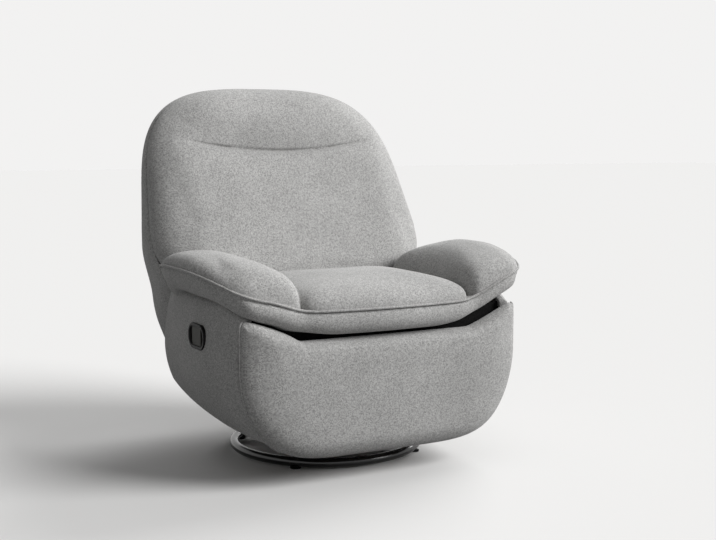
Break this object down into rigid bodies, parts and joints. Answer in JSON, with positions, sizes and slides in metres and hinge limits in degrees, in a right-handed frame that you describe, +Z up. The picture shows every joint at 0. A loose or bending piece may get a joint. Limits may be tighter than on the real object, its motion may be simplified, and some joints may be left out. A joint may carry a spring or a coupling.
{
  "type": "swivel rocker recliner",
  "caption": "Padded tub recliner on a round floor ring: it swivels and rocks, the back reclines, and the front panel folds up as a leg rest when a side latch is pulled.",
  "frame": {"origin": "on the floor, under the middle of the chair's bounding box", "axes": "+Z up, the chair faces -Y, the sitter's left is +X"},
  "size_m": [0.94, 0.86, 1.006],
  "materials": {
    "upholstery": "heathered grey woven cloth over foam",
    "wood_frame": "plain plywood and rail stock",
    "black_plastic": "moulded, satin black",
    "ring_paint": "gloss black paint",
    "black_metal": "satin black paint",
    "bare_steel": "zinc plated"
  },
  "bodies": {
    "base": {"base_ring": "ring_paint", "base_spider": "black_metal", "floor_glide_1": "black_plastic", "floor_glide_2": "black_plastic", "floor_glide_3": "black_plastic", "floor_glide_4": "black_plastic", "swivel_lower_race": "bare_steel", "swivel_pin": "bare_steel"},
    "swivel": {"swivel_upper_race": "bare_steel", "rocker_base_plate": "black_metal", "rocker_ear_left": "black_metal", "rocker_ear_right": "black_metal", "rocker_shaft": "bare_steel", "rocker_spring_front_left": "bare_steel", "rocker_spring_front_right": "bare_steel", "rocker_spring_rear_left": "bare_steel", "rocker_spring_rear_right": "bare_steel"},
    "seat_unit": {"arm_pad_left": "upholstery", "arm_pad_right": "upholstery", "cross_tube_front": "black_metal", "cross_tube_rear": "black_metal", "latch_bezel": "black_plastic", "mechanism_plate_left": "black_metal", "mechanism_plate_right": "black_metal", "recline_shaft": "bare_steel", "release_cable": "black_plastic", "rocker_arm_left": "black_metal", "rocker_arm_right": "black_metal", "seat_cushion": "upholstery", "seat_rail_front": "wood_frame", "seat_rail_left": "wood_frame", "seat_rail_rear": "wood_frame", "seat_rail_right": "wood_frame", "seat_spring_1": "bare_steel", "seat_spring_2": "bare_steel", "seat_spring_3": "bare_steel", "side_frame_left": "wood_frame", "side_frame_right": "wood_frame", "side_panel_left": "upholstery", "side_panel_right": "upholstery"},
    "backrest": {"back_cushion": "upholstery", "back_cover": "upholstery", "back_post_left": "wood_frame", "back_post_right": "wood_frame", "back_rail_top": "wood_frame", "back_rail_bottom": "wood_frame", "back_bracket_left": "bare_steel", "back_bracket_right": "bare_steel"},
    "footrest_drive": {"drive_tube": "bare_steel", "drive_link_left": "black_metal", "drive_link_right": "black_metal", "elbow_rod": "bare_steel"},
    "footrest_support": {"support_link_left": "black_metal", "support_link_right": "black_metal"},
    "footrest": {"cross_rod": "bare_steel", "footrest_board": "wood_frame", "footrest_pad": "upholstery", "footrest_bracket_left": "black_metal", "footrest_bracket_right": "black_metal"},
    "latch": {"latch_flap": "black_plastic"}
  },
  "joints": [
    {"name": "swivel", "type": "hinge", "parent": "base", "child": "swivel", "pos_m": [0, -0.046, 0], "axis": [0, 0, 1], "continuous": true},
    {"name": "rock", "type": "hinge", "parent": "swivel", "child": "seat_unit", "pos_m": [0, -0.046, 0.11], "axis": [-1, 0, 0], "range_deg": [-4, 8], "stiffness_Nm_per_rad": 500, "springref_deg": 0.47, "deforming": ["rocker_spring_front_left", "rocker_spring_front_right", "rocker_spring_rear_left", "rocker_spring_rear_right"]},
    {"name": "recline", "type": "hinge", "parent": "seat_unit", "child": "backrest", "pos_m": [0, 0.059, 0.365], "axis": [-1, 0, 0], "range_deg": [0, 30]},
    {"name": "footrest_drive", "type": "hinge", "parent": "seat_unit", "child": "footrest_drive", "pos_m": [0, -0.246, 0.315], "axis": [-1, 0, 0], "range_deg": [0, 71]},
    {"name": "footrest_fold", "type": "hinge", "parent": "footrest_drive", "child": "footrest_support", "pos_m": [0, -0.23914, 0.16015], "axis": [-1, 0, 0], "range_deg": [-112, 0]},
    {"name": "footrest_tilt", "type": "hinge", "parent": "footrest_support", "child": "footrest", "pos_m": [0, -0.331, 0.285], "axis": [-1, 0, 0], "range_deg": [0, 128]},
    {"name": "latch_pull", "type": "hinge", "parent": "seat_unit", "child": "latch", "pos_m": [-0.4265, -0.1455, 0.36], "axis": [0, 0, -1], "range_deg": [0, 30], "stiffness_Nm_per_rad": 0.5}
  ],
  "couplings": [
    {"joint": "footrest_fold", "follows": "footrest_drive", "ratio": -1.564},
    {"joint": "footrest_tilt", "follows": "footrest_drive", "ratio": 1.788}
  ]
}
